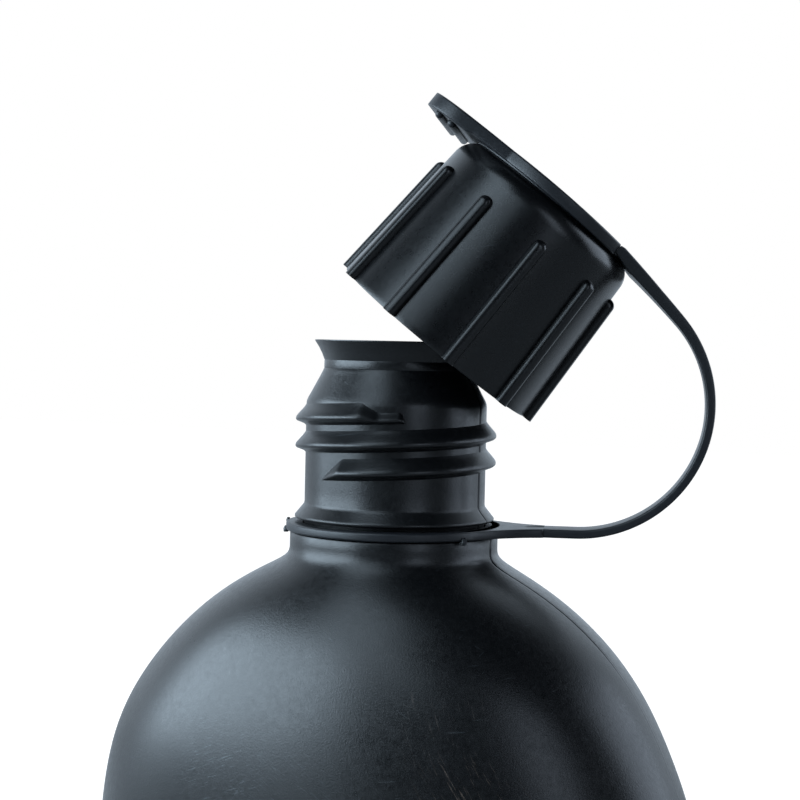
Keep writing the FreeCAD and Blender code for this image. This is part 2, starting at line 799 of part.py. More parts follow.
os.makedirs("parts", exist_ok=True)
for label in PARTS:
    part = doc.getObjectsByLabel(label)[0]
    if part.Shape.isNull() or not part.Shape.isValid() or len(part.Shape.Solids) != 1:
        raise RuntimeError(f"{label} is not one valid solid")
for label in PARTS:
    part = doc.getObjectsByLabel(label)[0]
    part.Shape.exportStep(f"parts/{label}.step")
    box = part.Shape.BoundBox
    print(f"{label:16} volume {part.Shape.Volume:9.1f}  z {box.ZMin:7.2f} to {box.ZMax:7.2f}")

stretches = strap_arcs()
print("mouth height", round(worked_out(MOUTH), 2))
print("strap bend radii", [round(stretch[2], 2) for stretch in stretches])
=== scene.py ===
# %% [markdown]
# # A black plastic field canteen
# The canteen is a blow-moulded bottle with a screw neck. A flexible strap loops from a ring
# round the neck to the top of a tall ribbed cap, which hangs tilted over the mouth.
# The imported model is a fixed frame: it says where everything is, and nothing in it is moved.
# This lesson dresses that frame with finer meshes and with real finishes.

# %% Load the frame
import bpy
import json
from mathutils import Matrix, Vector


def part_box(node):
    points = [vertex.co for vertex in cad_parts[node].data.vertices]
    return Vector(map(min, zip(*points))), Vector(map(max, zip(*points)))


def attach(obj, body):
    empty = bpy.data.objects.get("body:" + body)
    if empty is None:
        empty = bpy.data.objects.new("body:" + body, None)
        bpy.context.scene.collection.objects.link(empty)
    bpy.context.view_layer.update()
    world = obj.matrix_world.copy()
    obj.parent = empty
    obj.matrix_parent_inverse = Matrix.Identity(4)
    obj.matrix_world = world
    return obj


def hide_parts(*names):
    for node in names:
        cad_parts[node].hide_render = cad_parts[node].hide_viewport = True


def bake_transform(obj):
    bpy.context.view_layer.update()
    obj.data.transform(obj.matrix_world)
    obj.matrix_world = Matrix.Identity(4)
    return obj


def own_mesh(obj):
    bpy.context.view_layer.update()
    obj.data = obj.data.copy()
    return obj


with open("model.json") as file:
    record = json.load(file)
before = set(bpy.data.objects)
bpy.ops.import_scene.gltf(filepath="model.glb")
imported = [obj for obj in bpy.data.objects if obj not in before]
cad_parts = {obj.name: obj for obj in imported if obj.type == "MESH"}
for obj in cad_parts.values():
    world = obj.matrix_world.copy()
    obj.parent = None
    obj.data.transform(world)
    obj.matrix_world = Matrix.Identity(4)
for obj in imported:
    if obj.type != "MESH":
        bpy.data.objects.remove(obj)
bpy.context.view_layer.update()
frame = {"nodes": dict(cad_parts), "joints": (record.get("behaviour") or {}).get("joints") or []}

import json
import math

import bmesh
import bpy
from mathutils import Matrix, Vector

JOINTS = {joint["name"]: joint for joint in frame["joints"]}

# %% [markdown]
# ## Units and places
# Everything is drawn in millimetres in a handy local frame and then put in place in metres.
# There are three local frames: the bottle's own, the strap's plane, which is swung about the
# neck, and the cap's, whose axis is tilted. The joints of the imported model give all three.

# %% Local frames
MM = 0.001

def joint_point(name):
    """A joint's place in metres."""
    return Vector(JOINTS[name]["pos_m"])

ACROSS = Vector(JOINTS["strap_flex"]["axis"]).normalized()
OUTWARD = ACROSS.cross(Vector((0, 0, 1))).normalized()

def frame_matrix(x_axis, y_axis, z_axis, origin):
    """A matrix that takes millimetres in a local frame to metres in the row frame."""
    matrix = Matrix((x_axis, y_axis, z_axis)).transposed().to_4x4()
    matrix.translation = origin
    return matrix @ Matrix.Scale(MM, 4)

CAP_AXIS = Vector(JOINTS["cap_turn"]["axis"]).normalized()
BOTTLE_FRAME = Matrix.Scale(MM, 4)
STRAP_FRAME = frame_matrix(OUTWARD, ACROSS, Vector((0, 0, 1)), Vector())
CAP_FRAME = frame_matrix(ACROSS.cross(CAP_AXIS), ACROSS, CAP_AXIS, joint_point("cap_turn"))

low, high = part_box("canteen_body")
WIDTH, DEPTH, HEIGHT = [(b - a) / MM for a, b in zip(low, high)]
print("bottle", round(WIDTH, 1), "x", round(DEPTH, 1), "x", round(HEIGHT, 1), "mm")

# %% [markdown]
# ## Camera
# The canteen is seen nearly level, a little to its right, from the height of its mouth.
# The camera leans very slightly, so it gets a small roll after it has been aimed.

# %% Camera
VIEW_TURN = math.radians(24)
VIEW_DISTANCE = 0.369
VIEW_PITCH = math.radians(1.93)
VIEW_ROLL = math.radians(1.25)
LENS_FACTOR = 2.19
LENS_SHIFT = 0.004

camera_data = bpy.data.cameras.new("camera")
camera_data.sensor_width = 36
camera_data.lens = LENS_FACTOR * camera_data.sensor_width
camera_data.shift_x = LENS_SHIFT
camera_data.clip_start = 0.01
camera = bpy.data.objects.new("camera", camera_data)
bpy.context.collection.objects.link(camera)
eye = Vector((math.sin(VIEW_TURN), -math.cos(VIEW_TURN), 0)) * VIEW_DISTANCE
eye.z = HEIGHT * MM
aim = Matrix.Rotation(VIEW_TURN, 4, "Z") @ Matrix.Rotation(math.pi / 2 - VIEW_PITCH, 4, "X")
camera.matrix_world = Matrix.Translation(eye) @ aim @ Matrix.Rotation(VIEW_ROLL, 4, "Z")
bpy.context.scene.camera = camera
print("lens", round(camera_data.lens, 1), "mm, eye at", [round(c, 3) for c in eye])

# %% [markdown]
# ## Helpers for materials
# Colours are written as sRGB hex, the way a paint chip is, and turned to linear values once.
# One small function adds a node with its settings and its links, and a few short ones on
# top of it stand for the nodes that come up most.

# %% Material helpers
def linear(code):
    """An sRGB hex colour as linear red, green, blue and alpha."""
    parts = [int(code[i:i + 2], 16) / 255 for i in (1, 3, 5)]
    return [p / 12.92 if p <= 0.04045 else ((p + 0.055) / 1.055) ** 2.4 for p in parts] + [1.0]

def add_node(tree, kind, inputs=None, **settings):
    """Adds a node. inputs maps a socket to a value or to another node's output socket."""
    node = tree.nodes.new(kind)
    for key, value in settings.items():
        setattr(node, key, value)
    for key, value in (inputs or {}).items():
        if isinstance(value, bpy.types.NodeSocket):
            tree.links.new(value, node.inputs[key])
        else:
            node.inputs[key].default_value = value
    return node

def mixed_colour(tree, share, first, second):
    """The colour part of a mix node: first at share 0, second at share 1."""
    inputs = {0: share, 6: first, 7: second}
    return add_node(tree, "ShaderNodeMix", inputs, data_type="RGBA").outputs[2]

def ranged(tree, value, source, target, smooth=False):
    """A value carried from one range to another and held at both ends."""
    return add_node(tree, "ShaderNodeMapRange", {
        "Value": value, "From Min": source[0], "From Max": source[1],
        "To Min": target[0], "To Max": target[1],
    }, interpolation_type="SMOOTHSTEP" if smooth else "LINEAR").outputs[0]

def maths(tree, operation, *values):
    """The result of one maths node."""
    return add_node(tree, "ShaderNodeMath", dict(enumerate(values)), operation=operation).outputs[0]

def noise(tree, place, scale, detail, roughness):
    """Cloudy noise from about 0.3 to 0.7. The scale counts cells in a unit of place."""
    return add_node(tree, "ShaderNodeTexNoise", {
        "Vector": place, "Scale": scale, "Detail": detail, "Roughness": roughness,
    }).outputs["Fac"]

def stretched(tree, place, turn, size_mm):
    """Places counted in long thin cells, sized in millimetres and turned about the Y axis."""
    return add_node(tree, "ShaderNodeMapping", {
        "Vector": place, "Rotation": (0, turn, 0), "Scale": [mm * MM for mm in size_mm],
    }, vector_type="TEXTURE").outputs[0]

print("mid grey is", round(linear("#808080")[0], 3), "in linear light")

# %% [markdown]
# ## Studio
# A plain white sweep: the floor and the world are white to the camera. Black plastic shows
# almost nothing but reflections, so it is lit by large soft boxes: a big one on the left,
# dimmer ones in front of it and above it, and two dim ones on the right. The space behind
# the camera stays dark, which gives the broad soft highlights and the deep middle.

# %% Floor, world and soft boxes
FLOOR_SIZE = 6.0
AWAY = Vector((-math.sin(VIEW_TURN), math.cos(VIEW_TURN), 0))
SKY_TINT = "#dcecfb"
PAPER = "#8f8f8f"
WHITE = (1, 1, 1, 1)
# each pair of lines says where a light begins and is full, and how strong it is at the two
GLOW_REACH = (0.2, 0.48)
GLOW = (0.8, 1.0)
BOUNCE_REACH = (-0.05, 0.4)
BOUNCE = (0.0, 0.6)
SKY_FACING = (0.1, 0.75)
SKY_LIGHT = (0.02, 1.25)

bpy.ops.mesh.primitive_plane_add(size=FLOOR_SIZE)
floor = bpy.context.object
floor.name = "floor"

def studio_white(name):
    """A pale floor that the camera sees as nearly white and that still takes a shadow."""
    material = bpy.data.materials.new(name)
    material.use_nodes = True
    tree = material.node_tree
    tree.nodes.clear()
    for_camera = add_node(tree, "ShaderNodeLightPath").outputs["Is Camera Ray"]
    paper = add_node(tree, "ShaderNodeBsdfDiffuse", {"Color": linear(PAPER)})
    place = add_node(tree, "ShaderNodeTexCoord").outputs["Object"]
    distance = add_node(tree, "ShaderNodeVectorMath", {0: place}, operation="LENGTH").outputs["Value"]
    own_light = ranged(tree, distance, GLOW_REACH, GLOW, smooth=True)
    glow = add_node(tree, "ShaderNodeEmission", {"Color": WHITE, "Strength": own_light})
    behind = add_node(tree, "ShaderNodeVectorMath", {0: place, 1: AWAY}, operation="DOT_PRODUCT")
    spread = ranged(tree, behind.outputs["Value"], BOUNCE_REACH, BOUNCE, smooth=True)
    bounce = add_node(tree, "ShaderNodeEmission", {"Color": linear(SKY_TINT), "Strength": spread})
    for_eye = add_node(tree, "ShaderNodeAddShader", {0: paper.outputs[0], 1: glow.outputs[0]})
    for_rest = add_node(tree, "ShaderNodeAddShader", {0: paper.outputs[0], 1: bounce.outputs[0]})
    seen = add_node(tree, "ShaderNodeMixShader", {
        0: for_camera, 1: for_rest.outputs[0], 2: for_eye.outputs[0],
    })
    add_node(tree, "ShaderNodeOutputMaterial", {"Surface": seen.outputs[0]})
    return material

floor.data.materials.append(studio_white("white_sweep"))

world = bpy.data.worlds.new("studio")
bpy.context.scene.world = world
world.use_nodes = True
tree = world.node_tree
tree.nodes.clear()
for_camera = add_node(tree, "ShaderNodeLightPath").outputs["Is Camera Ray"]
direction = add_node(tree, "ShaderNodeTexCoord").outputs["Generated"]
facing = add_node(tree, "ShaderNodeVectorMath", {0: direction, 1: AWAY}, operation="DOT_PRODUCT")
ramp = ranged(tree, facing.outputs["Value"], SKY_FACING, SKY_LIGHT, smooth=True)
lit = add_node(tree, "ShaderNodeMix", {0: for_camera, 2: ramp, 3: 1.0})
tint = mixed_colour(tree, for_camera, linear(SKY_TINT), WHITE)
sky = add_node(tree, "ShaderNodeBackground", {"Color": tint, "Strength": lit.outputs[0]})
add_node(tree, "ShaderNodeOutputWorld", {"Surface": sky.outputs[0]})

LAMP_TARGET = Vector((0, 0, 0.15))
LAMP_DISTANCE = 0.85
LAMPS = (
    # bearing and rise in degrees, width and height in metres, radiance, colour
    ("soft_box_left", -78, 14, 1.1, 0.52, 7.2, "#d8eeff"),
    ("soft_box_front_left", -25, 27, 0.3, 0.24, 1.6, "#d8eeff"),
    ("soft_box_high_left", -45, 48, 0.42, 0.5, 2.8, "#d8eeff"),
    ("soft_box_front_right", 27, 14, 0.26, 0.5, 1.7, "#dcecff"),
    ("soft_box_right", 96, 13, 0.6, 0.6, 2.4, "#dcecff"),
)

def soft_box(name, turn, rise, width, height, radiance, colour):
    """A soft box that faces the bottle, at a bearing counted from the camera's side."""
    data = bpy.data.lights.new(name, "AREA")
    data.shape = "RECTANGLE"
    data.size = width
    data.size_y = height
    data.energy = radiance * math.pi * width * height
    data.color = linear(colour)[:3]
    lamp = bpy.data.objects.new(name, data)
    lamp.visible_camera = False
    bpy.context.collection.objects.link(lamp)
    bearing = VIEW_TURN + math.radians(turn)
    level = math.cos(math.radians(rise))
    toward = Vector((
        math.sin(bearing) * level, -math.cos(bearing) * level, math.sin(math.radians(rise)),
    ))
    lamp.matrix_world = (
        Matrix.Translation(LAMP_TARGET + toward * LAMP_DISTANCE)
        @ toward.to_track_quat("Z", "Y").to_matrix().to_4x4()
    )

for lamp_settings in LAMPS:
    soft_box(*lamp_settings)
bpy.context.scene.view_settings.view_transform = "Standard"

# %% [markdown]
# ## Finishes
# The bottle is blow-moulded high-density polyethylene, filled black. It is satin, not glossy:
# the mould was lightly blasted, which leaves a fine even grain, and years of rubbing add hair
# scratches, pale scuffs and a few brownish rub marks. The cap and strap are injection-moulded,
# a little smoother. Grain finer than the render can show is drawn as coarse as it needs to be.

# %% Moulded plastics
NOISE_SPREAD = (0.3, 0.7)
PATCH_MM = 30
MOTTLE_MM = 1.1
BUMP_MM = 0.05
SCRATCHES = ((0.55, 7), (-1.05, 6), (1.45, 12))  # turn in radians, length in millimetres
SCRATCH_LEVELS = (0.74, 0.84)
SCRATCH_COLOUR = "#4a5156"
SCUFF_LEVELS = (0.58, 0.74)
SCUFF_CORE = 0.3
PLASTIC_IOR = 1.54

def new_material(name):
    """A material, its node tree and its main shader, and the place on the object in metres."""
    material = bpy.data.materials.new(name)
    material.use_nodes = True
    tree = material.node_tree
    place = add_node(tree, "ShaderNodeTexCoord").outputs["Object"]
    return material, tree, tree.nodes["Principled BSDF"], place

def scratches(tree, place):
    """Hair scratches: long thin noise cells that break up along their length."""
    lines = None
    for turn, length in SCRATCHES:
        cells = noise(tree, stretched(tree, place, turn, (0.35, 2.5, length)), 1.0, 1.0, 0.4)
        thin = ranged(tree, cells, SCRATCH_LEVELS, (0.0, 1.0))
        lines = thin if lines is None else maths(tree, "MAXIMUM", lines, thin)
    return lines

def scuff_mask(tree, place, spot, reach, marks_mm, turn, strength):
    """Fine broken marks inside a soft spot, or the plain soft spot where marks_mm is 0."""
    centre = [c * MM for c in spot]
    away = add_node(tree, "ShaderNodeVectorMath", {0: place, 1: centre}, operation="DISTANCE")
    near = ranged(tree, away.outputs["Value"], (SCUFF_CORE * reach * MM, reach * MM), (1.0, 0.0),
                  smooth=True)
    if not marks_mm:
        return maths(tree, "MULTIPLY", near, strength)
    cells = stretched(tree, place, turn, (marks_mm, 5 * marks_mm, 16 * marks_mm))
    shown = ranged(tree, noise(tree, cells, 1.0, 5.0, 0.7), SCUFF_LEVELS, (0.0, strength))
    return maths(tree, "MULTIPLY", near, shown)

def moulded_plastic(name, colour, roughness, grain, rubbed, scuffs=(), grain_mm=0.35):
    """Satin black plastic with mould grain, hair scratches and local scuffs."""
    material, tree, shader, place = new_material(name)

    # broad patches where handling has polished or dulled the surface
    patches = noise(tree, place, 1 / (PATCH_MM * MM), 4.0, 0.6)
    rough_now = ranged(tree, patches, NOISE_SPREAD, (roughness - 0.03, roughness + 0.04))

    lines = maths(tree, "MULTIPLY", scratches(tree, place), rubbed)
    colour_now = mixed_colour(tree, lines, linear(colour), linear(SCRATCH_COLOUR))
    rough_now = maths(tree, "MULTIPLY_ADD", lines, 0.25, rough_now)

    # fine mottling, so that a highlight looks worn and not airbrushed
    mottle = noise(tree, place, 1 / (MOTTLE_MM * MM), 4.0, 0.7)
    uneven = ranged(tree, mottle, NOISE_SPREAD, (-0.08 * grain, 0.12 * grain))
    rough_now = maths(tree, "ADD", rough_now, uneven)

    for spot, reach, marks_mm, turn, tint, strength in scuffs:
        mask = scuff_mask(tree, place, spot, reach, marks_mm, turn, strength)
        colour_now = mixed_colour(tree, mask, colour_now, linear(tint))
        if marks_mm:
            rough_now = maths(tree, "MULTIPLY_ADD", mask, 0.3, rough_now)

    # mould grain as bump, drawn coarser than the real grain so that it shows at all
    fine = noise(tree, place, 1 / (grain_mm * MM), 2.0, 0.6)
    height = maths(tree, "SUBTRACT", fine, lines)
    bump = add_node(tree, "ShaderNodeBump", {
        "Strength": grain, "Distance": BUMP_MM * MM, "Height": height,
    })
    tree.links.new(colour_now, shader.inputs["Base Color"])
    tree.links.new(rough_now, shader.inputs["Roughness"])
    tree.links.new(bump.outputs[0], shader.inputs["Normal"])
    shader.inputs["IOR"].default_value = PLASTIC_IOR
    return material

BOTTLE_SCUFFS = (
    # spot and reach in millimetres, size of marks, their turn, colour, strength
    ((32, -33, 117), 14, 0.45, -0.6, "#6b5a4e", 0.75),
    ((25, -36, 131), 14, 0.35, -0.35, "#5b5049", 0.5),
    ((16, -37, 140), 18, 0.3, -1.3, "#4a4642", 0.4),
    ((-21, -35, 117), 16, 0.24, 1.2, "#8d969b", 0.42),
    ((-4, -37, 112), 16, 0.22, -1.1, "#7f878c", 0.3),
    ((4.5, -37, 135), 2.2, 0, 0, "#4c5358", 0.4),
)
HDPE = moulded_plastic("blow_moulded_polyethylene", "#060709", 0.32, 0.55, 0.2, BOTTLE_SCUFFS)
CAP_PP = moulded_plastic("injection_moulded_cap_plastic", "#050608", 0.29, 0.3, 0.12)
STRAP_PE = moulded_plastic("flexible_strap_plastic", "#12151a", 0.42, 0.4, 0.1, grain_mm=0.3)

def plain_finish(name, colour, roughness, metallic, bump_mm, strength):
    """A finish for small inner pieces: colour, roughness and a fine surface texture."""
    material, tree, shader, place = new_material(name)
    fine = noise(tree, place, 1 / (bump_mm * MM), 3.0, 0.5)
    tone = ranged(tree, fine, (0.0, 1.0), (roughness - 0.06, roughness + 0.06))
    bump = add_node(tree, "ShaderNodeBump", {
        "Strength": strength, "Distance": 0.03 * MM, "Height": fine,
    })
    shader.inputs["Base Color"].default_value = linear(colour)
    shader.inputs["Metallic"].default_value = metallic
    tree.links.new(tone, shader.inputs["Roughness"])
    tree.links.new(bump.outputs[0], shader.inputs["Normal"])
    return material

RUBBER = plain_finish("nitrile_seal_rubber", "#191a1b", 0.72, 0.0, 0.3, 0.4)
SPRING = plain_finish("drawn_spring_wire", "#b9bcc0", 0.32, 1.0, 0.15, 0.15)
print("finishes", [m.name for m in (HDPE, CAP_PP, STRAP_PE, RUBBER, SPRING)])

# %% [markdown]
# ## Helpers for meshes
# Most pieces are rings of points joined into a skin: a bottle, a strap, a cap. One function
# skins a list of rings. Another turns the finished mesh into an object in the row frame.

# %% Mesh helpers
WELD = 0.01 * MM

def skin(rings, loop=False, start_pole=None, end_pole=None):
    """Faces between closed rings of points. Poles close the first or last ring to a point."""
    points = [point for ring in rings for point in ring]
    size = len(rings[0])
    faces = []
    rows = len(rings)
    for row in range(rows if loop else rows - 1):
        here, there = row * size, (row + 1) % rows * size
        for column in range(size):
            following = (column + 1) % size
            faces.append((here + column, here + following, there + following, there + column))
    for pole, row in ((start_pole, 0), (end_pole, rows - 1)):
        if pole is None:
            continue
        points.append(pole)
        for column in range(size):
            faces.append((row * size + column, row * size + (column + 1) % size, len(points) - 1))
    return points, faces

def make_piece(name, points_and_faces, matrix, material, sharp=40):
    """A mesh object from points in a local frame, normals outwards, smooth but for edges."""
    points, faces = points_and_faces
    mesh = bpy.data.meshes.new(name)
    mesh.from_pydata([tuple(matrix @ Vector(p)) for p in points], [], faces)
    work = bmesh.new()
    work.from_mesh(mesh)
    bmesh.ops.remove_doubles(work, verts=work.verts, dist=WELD)
    bmesh.ops.recalc_face_normals(work, faces=work.faces)
    work.to_mesh(mesh)
    work.free()
    mesh.shade_smooth()
    mesh.set_sharp_from_angle(angle=math.radians(sharp))
    mesh.materials.append(material)
    piece = bpy.data.objects.new(name, mesh)
    bpy.context.collection.objects.link(piece)
    return piece

def lathe(profile, steps=192):
    """Rings about the Z axis from (radius, height) pairs."""
    turns = [math.tau * i / steps for i in range(steps)]
    return [
        [(r * math.cos(turn), r * math.sin(turn), z) for turn in turns] for r, z in profile
    ]

def finished(piece, body, slot, *nodes):
    """Hands a piece to the frame: its body, and the solids it stands for, which it hides. The slot is
    not used.
    """
    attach(piece, body)
    if nodes:
        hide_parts(*nodes)
    print(piece.name, "rides on", body, "with", len(piece.data.polygons), "faces")

# %% [markdown]
# ## Bottle
# A blow-moulded bottle has one skin of even wall, and its two mould halves meet in a line
# that runs up both edges. Its level outline is a slightly kidney-shaped oval, wide at the
# sides, and near a circle at the collar. That is a rule, so each ring is worked out from it:
# the dome is an ellipse seen from the front and squarer seen from the side, and it blends
# into the collar. The ring's points crowd at the two edges to draw the fine parting ridge.

# %% The bottle's rule
SIDE_HEIGHT = 92.6
DOME_RISE = 68
BASE_RADIUS = 16
BASE_TAPER = 0.03
BODY_BEND = 3.5
DEPTH_POWER = 3.3
SECTION_POWER = 2.2
COLLAR_RADIUS = 21.9
COLLAR_BLEND = 9
WALL = 2
FLANK = 56
# the blown shoulders sit a little to one side, over a short height
LEAN = -0.85
LEAN_HEIGHT = 121
LEAN_SPREAD = 14
SEAM_STEPS = (-1.2, -0.6, -0.35, -0.18, 0.0, 0.18, 0.35, 0.6, 1.2)
SEAM_HEIGHTS = (0.0, 0.0, -0.07, 0.06, 0.16, 0.06, -0.07, 0.0, 0.0)

def half_sizes(height, inset):
    """Half width and half depth of the bottle at a height."""
    rise = min(1.0, max(0.0, (height - SIDE_HEIGHT) / (DOME_RISE - inset)))
    drop = max(0.0, (SIDE_HEIGHT - height) / SIDE_HEIGHT)
    taper = 1 - BASE_TAPER * drop ** 2
    corner = BASE_RADIUS - inset
    below = max(0.0, corner - (height - inset))
    tuck = corner - math.sqrt(max(0.0, corner ** 2 - below ** 2))
    halves = []
    for full, power in ((WIDTH, 2), (DEPTH, DEPTH_POWER)):
        dome = (full / 2 * taper - inset) * (1 - rise ** power) ** (1 / power)
        collar = COLLAR_RADIUS - inset
        blended = (dome ** COLLAR_BLEND + collar ** COLLAR_BLEND) ** (1 / COLLAR_BLEND)
        halves.append(blended - tuck)
    return halves

def outline(half_width, half_depth, height, seam=0.0):
    """One ring of the bottle, with its parting ridge scaled by seam."""
    share = max(0.0, half_width - COLLAR_RADIUS) / (WIDTH / 2 - COLLAR_RADIUS)
    power = 2 + (SECTION_POWER - 2) * share
    bend = BODY_BEND * share
    lean = LEAN * math.exp(-((height - LEAN_HEIGHT) / LEAN_SPREAD) ** 2)
    ring = []
    for side in (1, -1):
        for step, ridge in zip(SEAM_STEPS, SEAM_HEIGHTS):
            y = step * side
            x = half_width * (1 - abs(y / half_depth) ** power) ** (1 / power) + ridge * seam
            ring.append((x * side + lean, y + bend * ((x / half_width) ** 2 - 1), height))
        edge = math.asin(min(1.0, (SEAM_STEPS[-1] / half_depth) ** (power / 2)))
        for i in range(1, FLANK):
            angle = edge + (math.pi - 2 * edge) * i / FLANK
            across = math.copysign(abs(math.cos(angle)) ** (2 / power), math.cos(angle))
            along = math.sin(angle) ** (2 / power)
            x, y = half_width * across * side, half_depth * along * side
            ring.append((x + lean, y + bend * (across ** 2 - 1), height))
    return ring

print("points in a ring", len(outline(60, 30, 0)))

# %% [markdown]
# Above the collar the bottle is round. The neck's profile runs up through the strap groove,
# the retaining bead, the threaded cylinder, the cone, the narrow throat and the flared lip,
# and then down the inside. Every corner is a little rounded, as a blown skin always is.

# %% Bottle mesh
def round_ring(radius, height, seam=0.0):
    """A ring of the neck, with as many points as a ring of the body."""
    return outline(radius, radius, height, seam)

def dome_heights(inset, count=44):
    """Heights from the base to the collar, closest together where the skin turns fastest."""
    corner = BASE_RADIUS - inset
    heights = [inset + corner * (1 - math.cos(math.radians(a))) for a in range(0, 91, 6)]
    heights += [corner + inset + (SIDE_HEIGHT - corner - inset) * i / 10 for i in range(1, 10)]
    rise = DOME_RISE - inset
    heights += [SIDE_HEIGHT + rise * math.sin(math.pi / 2 * i / count) for i in range(count)]
    return heights

MOUTH = HEIGHT
NECK_SEAM = 0.8
SEAM_START = 3
SEAM_LOW = 0.2
SEAM_FADES = 136
SEAM_FADES_OVER = 8
INNER_COLLAR = MOUTH - 45
FOOT_RECESS = 1.4
FOOT_SHARES = (0.35, 0.6, 0.78, 0.88, 0.94)
FOOT_EDGE = 0.97
FOOT_SLOPE = 0.15
OUTER_NECK = (
    # radius, and height from the mouth
    (21.9, -42.2), (21.9, -40.75), (21.75, -40.35), (21.3, -40.15), (19.5, -40.15), (19.1, -40.0),
    (19.0, -39.7), (19.0, -38.2), (19.15, -37.65), (19.5, -37.45), (20.4, -37.42), (20.85, -37.3),
    (21.0, -37.05), (20.98, -36.8), (20.7, -36.45), (19.35, -34.8), (19.1, -34.45), (19.0, -34.0),
    (19.0, -31.0), (19.0, -27.0), (19.0, -22.0), (19.0, -17.0), (19.0, -13.6), (18.93, -12.9),
    (18.65, -12.2), (18.1, -11.2), (16.2, -7.6), (15.7, -6.6), (15.5, -6.1), (15.38, -5.95),
    (15.42, -5.8), (15.4, -4.35), (15.36, -4.2), (15.47, -4.0), (15.85, -3.0), (16.55, -1.6),
    (17.3, -0.45), (17.46, -0.2), (17.42, -0.03), (17.2, 0.0),
)
INNER_NECK = (
    # the same, from the lip down
    (16.75, 0.0), (16.6, -0.12), (16.3, -0.7), (15.3, -2.4), (14.3, -3.9), (13.6, -4.7), (13.4, -5.1),
    (13.4, -5.7), (13.7, -6.4), (15.2, -9.2), (16.6, -12.0), (16.95, -12.9), (17.0, -13.8),
    (17.0, -25.0), (17.0, -36.0), (17.2, -39.0), (18.2, -41.0), (19.9, -43.5),
)

def seam_at(height):
    """The ridge stands clear on the shoulders and is nearly scraped away lower down."""
    if height < SEAM_START:
        return 0.0
    share = min(1.0, max(0.0, (height - SEAM_FADES) / SEAM_FADES_OVER))
    return SEAM_LOW + (1 - SEAM_LOW) * share

outside = [outline(*half_sizes(z, 0), z, seam=seam_at(z)) for z in dome_heights(0)]
outside += [round_ring(r, MOUTH + z, seam=NECK_SEAM) for r, z in OUTER_NECK]
inside = [round_ring(r, MOUTH + z) for r, z in INNER_NECK]
inside += [outline(*half_sizes(z, WALL), z) for z in reversed(dome_heights(WALL)) if z < INNER_COLLAR]
foot = []
half_width, half_depth = half_sizes(0, 0)
for share in FOOT_SHARES:
    lift = FOOT_RECESS * min(1.0, (FOOT_EDGE - share) / FOOT_SLOPE)
    foot.append(outline(half_width * share, half_depth * share, lift))
bottle_skin = skin(
    foot + outside + inside,
    start_pole=(0, 0, FOOT_RECESS), end_pole=(0, 0, WALL + FOOT_RECESS),
)
bottle = make_piece("bottle_shell", bottle_skin, BOTTLE_FRAME, HDPE)
finished(bottle, "bottle", "body_plastic", "canteen_body")

# %% [markdown]
# ## Screw thread
# The thread is one ridge that climbs the neck as a right-handed helix, a little over two
# turns. A rule like that suits Geometry Nodes: the object's own mesh is the ridge's profile,
# and the tree sweeps it up a helix whose radius, pitch and turns are named inputs. The ridge
# starts in a point, and near its upper end it steps down to a small tail that ends blunt.
# Both come from shrinking the profile along the way.

# %% The thread tree
POINT_SIZE = 0.04
END_SIZE = 0.02
TAIL_STEP = 0.03

def sockets(tree, inputs):
    """Gives a tree its named inputs, listed by kind, and one mesh output."""
    for kind, names in inputs.items():
        for name in names:
            tree.interface.new_socket(name, in_out="INPUT", socket_type="NodeSocket" + kind)
    tree.interface.new_socket("Mesh", in_out="OUTPUT", socket_type="NodeSocketGeometry")
    return add_node(tree, "NodeGroupInput").outputs

def thread_tree():
    """A profile swept up a helix, with its two ends shrunk."""
    tree = bpy.data.node_groups.new("Screw thread", "GeometryNodeTree")
    given = sockets(tree, {
        "Geometry": ("Profile",),
        "Float": ("Radius", "Pitch", "Turns", "Start angle", "Start height", "Lead in", "Run out",
                  "Tail", "Tail size"),
        "Int": ("Steps",),
    })
    line = add_node(tree, "GeometryNodeMeshLine", {"Count": given["Steps"]})
    index = add_node(tree, "GeometryNodeInputIndex").outputs[0]
    share = maths(tree, "DIVIDE", index, maths(tree, "SUBTRACT", given["Steps"], 1.0))
    turned = maths(tree, "MULTIPLY", share, given["Turns"])
    angle = maths(tree, "MULTIPLY_ADD", turned, math.tau, given["Start angle"])
    place = add_node(tree, "ShaderNodeCombineXYZ", {
        "X": maths(tree, "MULTIPLY", given["Radius"], maths(tree, "COSINE", angle)),
        "Y": maths(tree, "MULTIPLY", given["Radius"], maths(tree, "SINE", angle)),
        "Z": maths(tree, "MULTIPLY_ADD", turned, given["Pitch"], given["Start height"]),
    })
    left = maths(tree, "SUBTRACT", given["Turns"], turned)
    starting = ranged(tree, turned, (0.0, given["Lead in"]), (POINT_SIZE, 1.0))
    ending = ranged(tree, left, (0.0, given["Run out"]), (0.0, 1.0))
    blunt = maths(tree, "ADD", maths(tree, "POWER", ending, 0.5), END_SIZE)
    tail_root = maths(tree, "ADD", given["Tail"], TAIL_STEP)
    stepped = ranged(tree, left, (given["Tail"], tail_root), (given["Tail size"], 1.0))
    shrink = maths(tree, "MULTIPLY", starting, maths(tree, "MULTIPLY", blunt, stepped))
    placed = add_node(tree, "GeometryNodeSetPosition", {
        "Geometry": line.outputs[0], "Position": place.outputs[0],
    })
    path = add_node(tree, "GeometryNodeMeshToCurve", {"Mesh": placed.outputs[0]})
    upright = add_node(tree, "GeometryNodeSetCurveNormal", {"Curve": path.outputs[0]}, mode="Z_UP")
    profile = add_node(tree, "GeometryNodeMeshToCurve", {"Mesh": given["Profile"]})
    swept = add_node(tree, "GeometryNodeCurveToMesh", {
        "Curve": upright.outputs[0], "Profile Curve": profile.outputs[0], "Scale": shrink,
        "Fill Caps": True,
    })
    add_node(tree, "NodeGroupOutput", {0: swept.outputs[0]})
    return tree

THREAD_TREE = thread_tree()
print("thread tree with", len(THREAD_TREE.nodes), "nodes")

